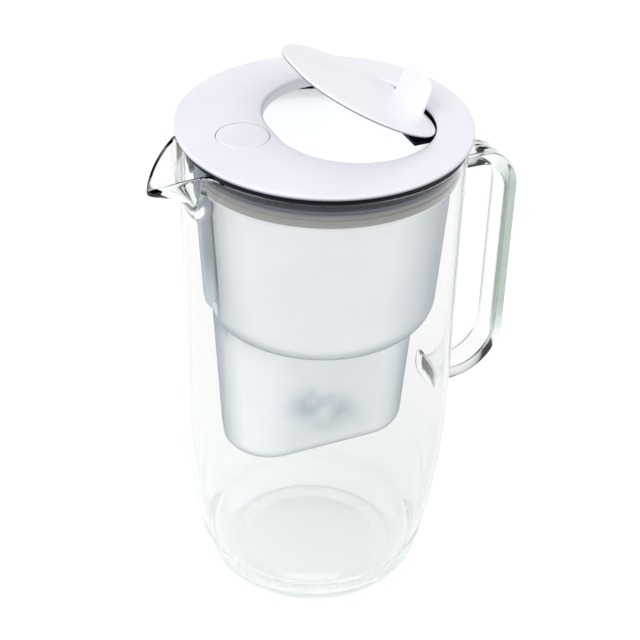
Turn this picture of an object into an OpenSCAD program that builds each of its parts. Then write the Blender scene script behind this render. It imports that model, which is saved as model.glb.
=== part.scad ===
// Water filter pitcher with a flip lid: a blown glass jug, a hanging funnel with
// its filter cartridge, and a plug-in lid with a filling flap.
// +Z is up, the foot stands on Z = 0, the spout points to -X and the handle to +X.

/* [Glass jug] */
// Height of the jug from the foot to the rim
jug_h = 269.8; // [240:0.1:300]
// Outer radius of the straight wall
jug_r = 72.6; // [66:0.1:80]
// Thickness of the glass wall
glass_t = 2.8; // [2:0.1:3.5]
// Thickness of the glass foot
foot_t = 4.5; // [3.5:0.1:8]
// Height at which the wall starts to draw in towards the foot
taper_start = 115; // [95:1:130]
// Radius of the long curve that draws the wall in
taper_curve_r = 480; // [420:10:700]
// Radius of the rounded foot edge
foot_edge_r = 16; // [12:0.5:20]
// Radius of the hollow under the foot
punt_r = 38; // [30:1:42]
// Depth of the hollow under the foot
punt_depth = 1.6; // [1:0.1:2.5]

/* [Spout] */
// Distance that the spout stands out from the wall
spout_reach = 21.4; // [16:0.2:24]
// Half width of the spout where it leaves the wall
spout_half_w = 22.5; // [18:0.5:24]
// Depth of the spout under the rim where it leaves the wall
spout_depth = 26.5; // [20:0.5:28]
// Drop of the lip between the rim and the tip
spout_drop = 15.8; // [10:0.2:17]

/* [Glass handle] */
// Distance of the grip's centre line from the wall
grip_reach = 34.4; // [33.4:0.2:44]
// Width of the glass strap, across the hand
strap_w = 17.6; // [14:0.2:20]
// Thickness of the glass strap
strap_t = 8; // [6:0.2:10]
// Radius of the strap's rounded edges
strap_edge_r = 2.6; // [1:0.1:2.9]
// Drop from the rim to the upper arm's centre line
arm_top_drop = 29.3; // [20:0.1:55]
// Height of the lower arm's centre line above the foot
arm_bottom_z = 104; // [95:0.5:125]
// Bend radius of the upper corner, at the centre line
bend_top_r = 21; // [15:0.5:26]
// Bend radius of the lower corner, at the centre line
bend_bottom_r = 27; // [15:0.5:30]
// Radius of the flare where the strap is fused to the wall
root_flare_r = 4; // [2:0.5:6]

/* [Funnel] */
// Depth of the bowl, from the collar's lower edge to its floor
bowl_h = 88.4; // [70:0.2:100]
// Taper of the bowl: what its radius loses between collar and floor
bowl_taper = 5.4; // [3:0.1:6]
// Radius of the bowl's rounded lower edge
bowl_edge_r = 14; // [8:0.5:18]
// Wall thickness of the funnel
funnel_t = 1.6; // [1.2:0.1:2]
// Depth of the cartridge chamber under the bowl's floor
chamber_depth = 81.2; // [60:0.2:100]
// Half length of the chamber at its mouth
chamber_half_l = 56.3; // [48:0.1:57]
// Half width of the chamber at its mouth
chamber_half_w = 30.3; // [28:0.1:33]
// Draft of the chamber: what it loses all round between mouth and floor
chamber_draft = 5.2; // [2:0.1:6]
// Offset of the chamber from the axis, towards the spout
chamber_shift = 1.5; // [0:0.5:2]
// Width of the pouring groove
groove_w = 21; // [16:0.5:24]
// Depth of the pouring groove, measured from the rim's outer face
groove_depth = 6.5; // [4:0.1:8]
// Radius of the chamber's rounded lower edge
chamber_edge_r = 9; // [3:0.5:10]
// Width of the outlet slots in the chamber floor
outlet_w = 3; // [2:0.1:4]

/* [Collar] */
// Height of the grey collar from its lower edge to the top of its flange
collar_h = 15.7; // [12:0.1:20]
// Radial thickness of the collar's band, between the funnel and the lips
collar_t = 2.55; // [2:0.05:4]
// Thickness of the collar's flange on the glass rim
flange_t = 1.2; // [1:0.1:2]
// Radius of the sealing lips
lip_r = 0.9; // [0.6:0.1:1.1]

/* [Cartridge] */
// Room between the cartridge and the chamber at either end
end_room = 4.4; // [3:0.1:6]
// Wall thickness of the cartridge
cartridge_t = 1.2; // [1:0.1:1.5]
// Height of the domed cap over the bowl's floor
dome_h = 14; // [11:0.5:18]
// Radius of the dome's rounded upper edge
dome_edge_r = 6; // [3:0.5:8]
// Radius of the finger loop, at the middle of its bar
loop_r = 10.5; // [9:0.5:12]
// Radius of the bar of the finger loop
loop_bar_r = 2; // [1.5:0.1:2.5]
// Number of intake slots on each flank of the cap
intake_count = 5; // [3:1:6]

/* [Lid] */
// Overhang of the lid beyond the glass wall
lid_overhang = 2.4; // [1:0.1:5]
// Thickness of the cover
cover_t = 2.2; // [1.8:0.1:3]
// Height of the dark carrier ring under the cover
carrier_t = 2.5; // [2:0.1:4]
// Depth to which the skirt reaches below the carrier ring
skirt_h = 9.3; // [6:0.1:12]
// Wall thickness of the skirt
skirt_t = 1.8; // [1.4:0.1:2.4]
// Half length of the oval filling hole, from front to back
hole_l = 41.2; // [34:0.1:42]
// Half width of the oval filling hole
hole_w = 47; // [42.4:0.1:48]
// Offset of the filling hole from the axis, towards the handle
hole_x = 13.6; // [11:0.1:14]

/* [Flap] */
// Gap between the flap and the hole's edge, next to the indicator
flap_front_gap = 0.4; // [0.3:0.1:1.5]
// Gap between the flap and the hole's edge, behind the hinge
flap_rear_gap = 2.5; // [2.5:0.1:4]
// Gap between the flap and the hole's edge, on either side
flap_side_gap = 1; // [1:0.1:1.5]
// Distance of the hinge line from the flap's rear edge
hinge_setback = 5; // [3:0.5:5.5]
// Thickness of the flap
flap_t = 2.2; // [1.6:0.1:2.6]
// How far the top of the closed flap lies below the top of the lid
flap_sink = 0.6; // [0.2:0.1:1]
// Angle at which the flap stands open
flap_open = 27.5; // [0:0.5:45]
// Width of the thumb tab
tab_w = 29; // [20:0.5:34]
// Height of the thumb tab
tab_h = 18; // [10:0.5:20]
// Thickness of the thumb tab
tab_t = 1.9; // [1.4:0.1:2.4]
// Lean of the thumb tab towards the handle on the closed flap
tab_lean = 7; // [0:1:10]

/* [Hinge] */
// Radius of the moulded hinge pins
pin_r = 1.2; // [1:0.1:1.5]
// Running clearance of the pins in the cheeks, on the radius
pin_gap = 0.06; // [0.03:0.01:0.09]
// Distance between the inner faces of the bearing cheeks
cheek_gap = 27; // [22:0.5:29]
// Thickness of a bearing cheek
cheek_t = 2.4; // [2:0.1:3]

/* [Indicator] */
// Radius of the opening for the button in the cover
indicator_r = 13.6; // [11.6:0.1:13.8]
// Travel of the button
button_travel = 0.8; // [0.4:0.1:1]
// Radius of the coin cell
cell_r = 10; // [8:0.1:10.5]
// Thickness of the coin cell
cell_t = 3.2; // [2:0.1:3.2]

/* [Hidden] */
$fn = 96;

// Fits and small allowances
body_gap = 0.3; // between pieces that move past each other
part_gap = 0.1; // between fixed pieces of one assembly
eps = 0.01; // lets a cut run past the face it opens

// Heights, from the rim of the glass upwards
collar_top = jug_h + body_gap + flange_t;
collar_base = collar_top - collar_h;
rim_z = collar_top - flange_t - 1.6; // rim of the funnel, under the collar's bridge
cover_base = collar_top + carrier_t;
lid_top = cover_base + cover_t;
lid_r = jug_r + lid_overhang;

// The lip of the spout dips by this beside the wall, before it falls to the tip
spout_dip = 2.3;
spout_taper = 0.6; // power by which the spout narrows to its tip
spout_flattening = 0.39; // share of its depth that the channel loses on the way

// Centre lines of the handle's grip and upper arm
grip_x = jug_r + grip_reach;
arm_top_z = jug_h - arm_top_drop;

// Radii where the funnel, the collar and the skirt of the lid nest in the glass
jug_bore = jug_r - glass_t;
collar_r = jug_bore - body_gap - lip_r;
funnel_r = collar_r - collar_t - part_gap / 2;
funnel_bore = funnel_r - funnel_t;
skirt_r = funnel_bore - 0.4;
carrier_bore = skirt_r - skirt_t - 1.7;

// The bowl hangs from the collar, and its wall leans by this angle
bowl_floor_z = collar_base - bowl_h;
bowl_floor_r = funnel_r - bowl_taper;
bowl_top = bowl_floor_z + funnel_t;
bowl_lean = atan(bowl_taper / bowl_h);

// Chamber and cartridge share one draft per millimetre of height
chamber_z = bowl_floor_z - chamber_depth;
chamber_h = bowl_top - chamber_z;
draft = chamber_draft / chamber_h;
cartridge_gap = 1.5; // room round the cartridge, closed by its seal
shell_base = chamber_z + funnel_t + 1.6;
shell_h = bowl_top - shell_base;
shell_half_l = chamber_half_l - funnel_t - cartridge_gap - end_room;
shell_half_w = chamber_half_w - funnel_t - cartridge_gap;
seat_t = 2; // flange of the cap on the bowl's floor
seat_half_l = shell_half_l + cartridge_gap;
seat_half_w = shell_half_w + cartridge_gap + 2.2; // rests beside the long flanks
shell_edge_r = max(chamber_edge_r - 6, 2); // leaves room over the chamber's rounded edge
screen_t = 0.6;

// Oval flap in its hole, and its hinge line ahead of its rear edge
flap_l = hole_l - (flap_front_gap + flap_rear_gap) / 2;
flap_w = hole_w - flap_side_gap;
flap_x = hole_x - (flap_rear_gap - flap_front_gap) / 2;
hinge_x = flap_x + flap_l - hinge_setback;
knuckle_r = pin_r + 0.9;
hinge_z = lid_top - flap_sink - flap_t - knuckle_r - 0.4;
rear_sweep = norm([hinge_setback, lid_top - flap_sink - hinge_z]);
bracket_front = hinge_x - 8.7; // end of its floor, under the filling hole
bracket_base = hinge_z - knuckle_r - 2.4;
bracket_t = 1.6;
bracket_half_w = 24;
lip_depth = 3.5; // downturned lip of the filling hole
lip_t = 1.6;
edge_r = 1.8; // rounded upper edge of the filling hole

// Stack of the indicator, from the button down
button_top = lid_top + 0.2;
button_base = cover_base + button_travel;
housing_r = indicator_r + 0.4;
housing_bore = housing_r - 1.2;
indicator_x = hole_l - hole_x + lip_t + 2 * body_gap + housing_r;
board_t = 1.2;
board_top = cover_base - 3;
cell_top = board_top - board_t - 1;
cell_base = cell_top - cell_t;
door_flange = 1;
housing_base = cell_base - 2;

module at_indicator() {
    translate([-indicator_x, 0, 0]) children();
}

module at_cartridge() {
    translate([-chamber_shift, 0, 0]) children();
}

// Wedge that, less its circle, is what a rounded corner takes away
module corner_waste(center, radius, side_angle) {
    translate(center) difference() {
        polygon([[0, 0], [0, -radius - 2], [radius + 4, -radius - 2],
            [(radius + 4) * cos(side_angle), (radius + 4) * sin(side_angle)]]);
        circle(radius);
    }
}

// Flat ring with a square section
module ring(outer_r, inner_r, base_z, height) {
    translate([0, 0, base_z]) rotate_extrude()
        translate([inner_r, 0]) square([outer_r - inner_r, height]);
}

// Carries a half section round an oval: two half turns and a straight run between them
module oval_turn(straight) {
    for (side = [-1, 1])
        translate([side * straight, 0, 0]) rotate(-90 * side) rotate_extrude(angle = 180)
            children();
    rotate([90, 0, 90]) linear_extrude(2 * straight, center = true) {
        children();
        mirror([1, 0]) children();
    }
}

// Oval block with draft and a rounded lower edge: the half sizes are those of its upper face
module oval(half_l, half_w, base_z, height, taper = draft, edge_r = 0) {
    base_r = half_w - height * taper;
    lean = atan(taper);
    translate([0, 0, base_z]) oval_turn(half_l - half_w) difference() {
        polygon([[0, 0], [base_r, 0], [half_w, height], [0, height]]);
        if (edge_r > 0)
            corner_waste([base_r + edge_r * tan(lean) - edge_r / cos(lean), edge_r],
                edge_r, -lean);
    }
}

// ---- Glass jug ----

// Half section of the jug's outer form, or of its inside with an inset
module jug_outline(inset, floor_z, corner_r, top) {
    reach = taper_curve_r - inset;
    curve_x = jug_r - taper_curve_r;
    corner_z = floor_z + corner_r;
    corner_x = curve_x + sqrt(pow(reach - corner_r, 2) - pow(taper_start - corner_z, 2));
    difference() {
        union() {
            intersection() {
                translate([curve_x, taper_start]) circle(reach, $fn = 720);
                translate([0, floor_z]) square([jug_r, taper_start - floor_z]);
            }
            translate([0, taper_start]) square([jug_r - inset, top - taper_start]);
        }
        corner_waste([corner_x, corner_z], corner_r,
            atan2(corner_z - taper_start, corner_x - curve_x));
    }
}

// The spout is drawn through stations from -1, inside the mouth, to 1 at its tip.
// Beyond the wall it narrows to the tip, while its lip falls and its channel gets flatter.
function spout_x(s) = -jug_r - spout_reach * s;
function spout_width(s) = spout_half_w * pow(1 - max(s, 0), spout_taper);
function spout_lip(s) = let (t = max(s, 0))
    jug_h - spout_dip * (1 - pow(1 - t, 4)) - (spout_drop - spout_dip) * t * t;
function spout_flatness(s) = 1 - spout_flattening * max(s, 0);

// Half oval under the lip at one station, from one side to the other
function channel(x, width, depth, lip, steps = 16) = [
    for (i = [0 : steps]) let (a = 180 * i / steps)
        [x, -width * cos(a), lip - depth * sin(a)]
];

// Sections of the spout's outer form, with a rounded lip, up to the last station
function spout_sections() = let (steps = 11, edge = 1.1) [
    for (i = [0 : steps])
        let (
            s = i == 0 ? -0.4 : 1 - pow(1 - (i - 1) / steps, 2),
            width = spout_width(s),
            round_r = min(edge, width / 3),
            depth = spout_depth * width / spout_half_w * spout_flatness(s),
            lip = spout_lip(s),
            x = spout_x(s)
        )
        concat(
            channel(x, width, depth - round_r, lip - round_r),
            [[x, width - 0.3 * round_r, lip - 0.3 * round_r], [x, width - round_r, lip],
                [x, round_r - width, lip], [x, 0.3 * round_r - width, lip - 0.3 * round_r]]
        )
];

// Sections of the channel inside the spout, open to above the rim
function channel_sections() = let (steps = 10, edge = 0.8, reach = spout_reach - glass_t) [
    for (i = [0 : steps])
        let (
            s = i == 0 ? -0.6 : 0.985 * (1 - pow(1 - (i - 1) / (steps - 1), 2)),
            width = spout_width(s) * (spout_half_w - glass_t) / spout_half_w,
            x = -jug_r - reach * s,
            lip = spout_lip(s * reach / spout_reach),
            depth = (spout_depth - glass_t) * width / (spout_half_w - glass_t)
                * spout_flatness(s)
        )
        concat(
            channel(x, width, depth - 1, lip - 1),
            [[x, width + edge, lip + 0.2], [x, width + edge, jug_h + 5],
                [x, -width - edge, jug_h + 5], [x, -width - edge, lip + 0.2]]
        )
];

// Solid through a row of closed sections, and through a tip where one is given
module loft(sections, tip = []) {
    rows = len(sections) - 1;
    side = len(sections[0]);
    ring = [for (j = [0 : side - 1]) j];
    walls = [
        for (i = [0 : rows - 1], j = ring)
            let (k = (j + 1) % side, a = i * side, b = a + side)
                each [[a + j, a + k, b + j], [a + k, b + k, b + j]]
    ];
    first = [for (j = ring) side - 1 - j];
    last = rows * side;
    end = len(tip) == 0 ? [[for (j = ring) last + j]]
        : [for (j = ring) [last + j, last + (j + 1) % side, last + side]];
    polyhedron(concat([for (section = sections) each section], tip),
        concat([first], walls, end));
}

module glass_body() {
    rim_r = glass_t / 2;
    punt_curve_r = (pow(punt_r, 2) + pow(punt_depth, 2)) / (2 * punt_depth);
    color([0.86, 0.92, 0.92, 0.35]) difference() {
        union() {
            rotate_extrude() difference() {
                union() {
                    jug_outline(0, 0, foot_edge_r, jug_h - rim_r);
                    translate([jug_r - rim_r, jug_h - rim_r]) circle(rim_r);
                }
                jug_outline(glass_t, foot_t, foot_edge_r - glass_t, jug_h + 1);
                translate([0, punt_depth - punt_curve_r]) circle(punt_curve_r, $fn = 720);
            }
            loft(spout_sections(), [[spout_x(1), 0, spout_lip(1)]]);
        }
        loft(channel_sections());
        translate([0, 0, taper_start]) cylinder(h = jug_h, r = jug_bore);
    }
}

// Section of the handle's strap: its thickness along X, its width along Y
module strap_section() {
    core_t = strap_t - 2 * strap_edge_r;
    core_w = strap_w - 2 * strap_edge_r;
    square([strap_t, core_w], center = true);
    square([core_t, strap_w], center = true);
    for (x = [-1, 1], y = [-1, 1])
        translate([x * core_t / 2, y * core_w / 2]) circle(strap_edge_r);
}

// Straight arm of the handle, from inside the wall to a corner
module handle_arm(z, bend_r) {
    start = jug_r - 6;
    translate([start, 0, z]) rotate([90, 0, 90])
        linear_extrude(grip_x - bend_r - start) rotate(90) strap_section();
}

// Flare of the strap where an arm is fused to the wall
module handle_root(z) {
    steps = 3;
    sink = 2; // starts this deep in the wall, which is cut away
    function reach(i) = root_flare_r * i / steps;
    function spread(i) = root_flare_r
        - sqrt(pow(root_flare_r, 2) - pow(root_flare_r - reach(i), 2));
    module slice(x, grow) {
        translate([jug_r + x, 0, z]) rotate([90, 0, 90])
            linear_extrude(eps) rotate(90) offset(r = grow, $fn = 20) strap_section($fn = 20);
    }
    for (i = [0 : steps - 1]) hull() {
        slice(i == 0 ? -sink : reach(i), spread(i));
        slice(reach(i + 1), spread(i + 1));
    }
}

// Quarter bend of the handle, turned from the level arm to the upright grip
module handle_bend(z, bend_r, start) {
    translate([grip_x - bend_r, 0, z]) rotate([90, 0, 0]) rotate(start)
        rotate_extrude(angle = 90) translate([bend_r, 0]) strap_section();
}

module glass_handle() {
    grip_base = arm_bottom_z + bend_bottom_r;
    grip_top = arm_top_z - bend_top_r;
    color([0.86, 0.92, 0.92, 0.35]) difference() {
        union() {
            handle_arm(arm_top_z, bend_top_r);
            handle_bend(grip_top, bend_top_r, 0);
            translate([grip_x, 0, grip_base])
                linear_extrude(grip_top - grip_base) strap_section();
            handle_bend(grip_base, bend_bottom_r, -90);
            handle_arm(arm_bottom_z, bend_bottom_r);
            for (z = [arm_bottom_z, arm_top_z]) handle_root(z);
        }
        rotate_extrude() jug_outline(0, 0, foot_edge_r, jug_h);
    }
}

// ---- Funnel ----

// Half section of the bowl, or of its inside with an inset
module bowl_outline(inset, floor_z, corner_r, top) {
    floor_r = bowl_floor_r - inset;
    corner_x = floor_r + corner_r * tan(bowl_lean) - corner_r / cos(bowl_lean);
    difference() {
        polygon([[0, floor_z], [floor_r, floor_z], [funnel_r - inset, collar_base],
            [funnel_r - inset, top], [0, top]]);
        corner_waste([corner_x, floor_z + corner_r], corner_r, -bowl_lean);
    }
}

// Pouring groove: follows the wall and runs out towards the spout at the rim
module groove(inset, width) {
    below_collar = 6;
    ramp_z = collar_base - below_collar;
    ramp_h = 9;
    ramp_x = funnel_r - groove_depth - below_collar * tan(bowl_lean);
    rim_x = skirt_r - 2;
    rotate([90, 0, 0]) linear_extrude(width, center = true)
        polygon([[inset - bowl_floor_r + groove_depth, bowl_floor_z - 1],
            [inset - ramp_x, ramp_z], [inset - rim_x, ramp_z + ramp_h],
            [inset - rim_x, rim_z + 1], [-jug_r, rim_z + 1], [-jug_r, bowl_floor_z - 1]]);
}

module funnel() {
    step_w = collar_r - funnel_r - 0.2; // ledge that the collar stands on
    step_t = 1.4;
    slot_count = 5;
    slot_pitch = 13;
    slot_l = chamber_half_w;
    rise = 6; // the chamber's ends run up into the bowl's rounded edge
    color([0.93, 0.95, 0.96, 0.6]) difference() {
        union() {
            difference() {
                union() {
                    rotate_extrude() bowl_outline(0, bowl_floor_z, bowl_edge_r, rim_z);
                    ring(funnel_r + step_w, funnel_r - 1, collar_base - step_t, step_t);
                }
                groove(0, groove_w);
            }
            at_cartridge()
                oval(chamber_half_l + rise * draft, chamber_half_w + rise * draft,
                    chamber_z, chamber_h + rise, draft, chamber_edge_r);
        }
        difference() {
            rotate_extrude()
                bowl_outline(funnel_t, bowl_top, bowl_edge_r - funnel_t, rim_z + 1);
            groove(funnel_t, groove_w + 2 * funnel_t);
        }
        at_cartridge() {
            oval(chamber_half_l - funnel_t, chamber_half_w - funnel_t,
                chamber_z + funnel_t, chamber_h - 2 * funnel_t,
                draft, chamber_edge_r - funnel_t);
            oval(shell_half_l + cartridge_gap, shell_half_w + cartridge_gap,
                bowl_floor_z - eps, funnel_t + 2 * eps, 0);
            oval(seat_half_l + body_gap, seat_half_w + body_gap, bowl_top, 2 * seat_t, 0);
            for (i = [0 : slot_count - 1])
                translate([(i - (slot_count - 1) / 2) * slot_pitch, 0, chamber_z])
                    cube([outlet_w, slot_l, 3 * funnel_t], center = true);
        }
    }
}

module funnel_collar() {
    band_bore = funnel_r + part_gap / 2;
    flange_r = jug_r + 0.3;
    notch_w = groove_w + 5;
    color([0.55, 0.57, 0.6, 0.7]) difference() {
        rotate_extrude() {
            translate([band_bore, collar_base])
                square([collar_r - band_bore, collar_h - flange_t]);
            translate([funnel_bore, rim_z])
                square([collar_r - funnel_bore, collar_top - rim_z]);
            translate([funnel_bore, collar_top - flange_t])
                square([flange_r - funnel_bore, flange_t]);
            for (z = [3.6, 9.4])
                translate([collar_r, collar_base + z]) circle(lip_r);
        }
        translate([-jug_r - 1, -notch_w / 2, collar_base - 1])
            cube([jug_r, notch_w, rim_z - collar_base + 1]);
    }
}

// ---- Filter cartridge ----

// Oval wall between two distances from the cartridge's outer face
module oval_wall(outer, inner, base_z, height) {
    lost = (bowl_top - base_z - height) * draft;
    difference() {
        oval(shell_half_l - outer - lost, shell_half_w - outer - lost, base_z, height);
        oval(shell_half_l - inner - lost, shell_half_w - inner - lost,
            base_z - eps, height + 2 * eps);
    }
}

// Oval plug that fills the cartridge at a distance from its outer face
module oval_plug(inset, base_z, height, edge_r = 0) {
    lost = (bowl_top - base_z - height) * draft;
    oval(shell_half_l - inset - lost, shell_half_w - inset - lost, base_z, height,
        draft, edge_r);
}

module cartridge_shell() {
    floor_z = shell_base + cartridge_t;
    slot_w = 1.6;
    slot_pitch = 6;
    slot_l = shell_half_w;
    reach = floor((shell_half_l - shell_half_w / 2) / slot_pitch);
    color([0.95, 0.96, 0.97]) at_cartridge() difference() {
        oval_plug(0, shell_base, shell_h, shell_edge_r);
        oval_plug(cartridge_t, floor_z, bowl_top - floor_z + eps);
        for (i = [-reach : reach])
            translate([i * slot_pitch, 0, shell_base])
                cube([slot_w, slot_l, 4 * cartridge_t], center = true);
    }
}

// Dome of the cap, or the hollow in it with an inset
module dome(inset, height, edge_r) {
    foot_inset = 3; // stands in from the shell's outer face
    translate([0, 0, bowl_top]) mirror([0, 0, 1])
        oval(shell_half_l - foot_inset - inset, shell_half_w - foot_inset - inset,
            -height, height, 0.45, edge_r);
}

module cartridge_cap() {
    slot_w = 3.2;
    slot_pitch = 11;
    lip_inset = cartridge_t + part_gap;
    color("white") at_cartridge() {
        difference() {
            union() {
                oval(seat_half_l, seat_half_w, bowl_top, seat_t, 0);
                oval_plug(lip_inset, bowl_top - 2.4, 2.5);
                dome(0, dome_h, dome_edge_r);
            }
            dome(cartridge_t, dome_h - cartridge_t, dome_edge_r - cartridge_t);
            oval_plug(lip_inset + cartridge_t, bowl_top - 3, 3 + eps);
            for (i = [0 : intake_count - 1])
                translate([(i - (intake_count - 1) / 2) * slot_pitch, 0,
                    bowl_top + seat_t + dome_h / 2 - 1])
                    cube([slot_w, 3 * shell_half_w, dome_h / 2], center = true);
        }
        finger_loop();
    }
}

// Half ring that stands on the cap, to pull the cartridge by
module finger_loop() {
    translate([0, 0, bowl_top + dome_h - 0.5]) rotate([90, 0, 0])
        rotate_extrude(angle = 180) translate([loop_r, 0]) circle(loop_bar_r);
}

module cartridge_seal() {
    color("gainsboro") at_cartridge()
        oval_wall(-cartridge_gap + body_gap, -part_gap / 2, bowl_top - 4, 4);
}

module cartridge_bottom_screen() {
    color("silver") at_cartridge()
        oval_plug(cartridge_t + part_gap, shell_base + cartridge_t, screen_t);
}

module cartridge_media() {
    floor_z = shell_base + cartridge_t + screen_t;
    color([0.25, 0.25, 0.27]) at_cartridge()
        oval_plug(cartridge_t + part_gap, floor_z, bowl_top - 4 - screen_t - floor_z);
}

module cartridge_top_screen() {
    color("silver") at_cartridge()
        oval_plug(cartridge_t + part_gap, bowl_top - 4 - screen_t, screen_t);
}

// ---- Lid ----

// Carries a half section round the filling hole, or round the flap, which are ovals
module hole_turn(half_l, half_w) {
    rotate(90) oval_turn(half_w - half_l) children();
}

module lid_cover() {
    rim_edge = 1;
    color([0.95, 0.95, 0.98]) difference() {
        union() {
            rotate_extrude() {
                translate([0, cover_base]) square([lid_r - rim_edge, cover_t]);
                translate([0, cover_base]) square([lid_r, cover_t - rim_edge]);
                translate([lid_r - rim_edge, lid_top - rim_edge]) circle(rim_edge);
            }
            difference() {
                translate([hole_x, 0, cover_base - lip_depth]) hole_turn(hole_l, hole_w)
                    square([hole_l + lip_t, lip_depth + 1]);
                translate([bracket_front, -bracket_half_w - 1.5, cover_base - lip_depth - 1])
                    cube([lid_r, 2 * bracket_half_w + 3, lip_depth + 1]);
            }
        }
        translate([hole_x, 0, cover_base - lip_depth - 1]) hole_turn(hole_l, hole_w) {
            height = cover_t + lip_depth + 1;
            square([hole_l, height + 1]);
            difference() {
                translate([0, height - edge_r]) square([hole_l + edge_r, edge_r + 1]);
                translate([hole_l + edge_r, height - edge_r]) circle(edge_r);
            }
        }
        at_indicator() translate([0, 0, cover_base - 1])
            cylinder(h = cover_t + 2, r = indicator_r);
    }
}

module lid_carrier() {
    notch_w = groove_w + 6;
    carrier_r = jug_r + 0.8;
    color([0.12, 0.12, 0.15]) difference() {
        union() {
            ring(carrier_r, carrier_bore, collar_top, carrier_t);
            ring(skirt_r, skirt_r - skirt_t, collar_top - skirt_h, skirt_h + 0.5);
        }
        translate([-lid_r, -notch_w / 2, collar_top - skirt_h - 1])
            cube([lid_r, notch_w, skirt_h + 1]);
    }
}

// Bearing cheek for one hinge pin
module hinge_cheek(side) {
    inner_y = side * cheek_gap / 2;
    translate([hinge_x, inner_y + side * cheek_t / 2, 0]) {
        translate([0, 0, hinge_z]) rotate([90, 0, 0])
            cylinder(h = cheek_t, r = knuckle_r, center = true);
        translate([-knuckle_r, -cheek_t / 2, bracket_base + bracket_t - eps])
            cube([2 * knuckle_r, cheek_t, hinge_z - bracket_base - bracket_t]);
    }
}

module hinge_bracket() {
    rear_x = hinge_x + rear_sweep + body_gap;
    wall_h = cover_base - bracket_base;
    return_l = 2.4; // the rear wall ends in returns, clear of the flap
    color([0.1, 0.1, 0.12]) difference() {
        union() {
            intersection() {
                translate([0, 0, bracket_base]) cylinder(h = wall_h, r = carrier_bore - 0.2);
                union() {
                    translate([bracket_front, -bracket_half_w, bracket_base])
                        cube([lid_r, 2 * bracket_half_w, bracket_t]);
                    translate([rear_x, -bracket_half_w, bracket_base])
                        cube([lid_r, 2 * bracket_half_w, wall_h]);
                    for (side = [-1, 1])
                        translate([rear_x - return_l, side * (bracket_half_w - 1) - 1, bracket_base])
                            cube([lid_r, 2, wall_h]);
                }
            }
            for (side = [-1, 1]) hinge_cheek(side);
        }
        translate([hinge_x, 0, hinge_z]) rotate([90, 0, 0])
            cylinder(h = cheek_gap + 4 * cheek_t, r = pin_r + pin_gap, center = true);
    }
}

// ---- Flap ----

// Thumb tab seen from the handle: a plate with rounded upper corners
module tab_outline() {
    corner_r = 6.5;
    half_w = tab_w / 2 - corner_r;
    translate([-tab_w / 2, -1]) square([tab_w, tab_h + 1 - corner_r]);
    translate([-half_w, -1]) square([2 * half_w, tab_h + 1]);
    for (side = [-1, 1])
        translate([side * half_w, tab_h - corner_r]) circle(corner_r);
}

// The flap as it lies closed
module closed_flap() {
    flap_base = lid_top - flap_sink - flap_t;
    edge = 0.8;
    lug_w = 4;
    lug_y = cheek_gap / 2 - body_gap - lug_w / 2;
    tab_x = flap_x + flap_l - 8.5;
    translate([flap_x, 0, flap_base]) hole_turn(flap_l, flap_w) {
        square([flap_l - edge, flap_t]);
        translate([0, edge]) square([flap_l, flap_t - 2 * edge]);
        for (z = [edge, flap_t - edge]) translate([flap_l - edge, z]) circle(edge);
    }
    translate([tab_x, 0, flap_base + flap_t]) rotate([90 - tab_lean, 0, 90])
        linear_extrude(tab_t, center = true) tab_outline();
    for (side = [-1, 1]) translate([hinge_x, side * lug_y, 0]) {
        translate([0, 0, hinge_z]) rotate([90, 0, 0])
            cylinder(h = lug_w, r = knuckle_r, center = true);
        translate([-knuckle_r, -lug_w / 2, hinge_z])
            cube([1.9 * knuckle_r, lug_w, flap_base - hinge_z + 0.5]);
        translate([0, side * (cheek_t + body_gap) / 2, hinge_z]) rotate([90, 0, 0])
            cylinder(h = lug_w + cheek_t + body_gap, r = pin_r, center = true);
    }
}

module flap() {
    color([0.96, 0.96, 0.99]) translate([hinge_x, 0, hinge_z])
        rotate([0, flap_open, 0]) translate([-hinge_x, 0, -hinge_z]) closed_flap();
}

// ---- Filter-change indicator ----

module indicator_housing() {
    ledge_bore = cell_r + 1.2;
    ledge_base = cell_base + 0.2;
    color("lightgray") at_indicator() difference() {
        translate([0, 0, housing_base])
            cylinder(h = cover_base - housing_base, r = housing_r);
        translate([0, 0, board_top - board_t])
            cylinder(h = cover_base, r = housing_bore);
        translate([0, 0, housing_base - 1])
            cylinder(h = ledge_base - housing_base + 1, r = housing_bore);
        translate([0, 0, housing_base]) cylinder(h = cover_base, r = ledge_bore);
    }
}

module indicator_button() {
    guide_h = 2.6;
    plunger_r = 1.6;
    color([0.95, 0.95, 0.98]) at_indicator() {
        translate([0, 0, button_base])
            cylinder(h = button_top - button_base, r = indicator_r - body_gap);
        ring(housing_bore - 0.4, housing_bore - 1.4, button_base - guide_h, guide_h + 0.5);
        translate([0, 0, button_base - 0.85]) cylinder(h = 1.2, r = plunger_r);
    }
}

module indicator_board() {
    color("seagreen") at_indicator() translate([0, 0, board_top - board_t])
        cylinder(h = board_t, r = housing_bore - part_gap);
}

module indicator_switch() {
    side = 4.5;
    body_h = 1.5;
    dome_h = 0.6;
    color("dimgray") at_indicator() {
        translate([-side / 2, -side / 2, board_top]) cube([side, side, body_h]);
        translate([0, 0, board_top + body_h - 0.1]) cylinder(h = dome_h, r = 1.2);
    }
}

module indicator_led() {
    body = [3.2, 1.6, 0.8];
    lens_r = 0.7;
    color("palegreen") at_indicator() translate([0, housing_bore * 0.55, board_top]) {
        translate([-body[0] / 2, -body[1] / 2, 0]) cube(body);
        translate([0, 0, body[2] - 0.1]) cylinder(h = 0.5, r = lens_r);
    }
}

module indicator_battery() {
    step = 0.5;
    color("silver") at_indicator() {
        translate([0, 0, cell_base + step])
            cylinder(h = cell_t - step, r = cell_r);
        translate([0, 0, cell_base]) cylinder(h = step + eps, r = cell_r - 1.2);
    }
}

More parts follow.
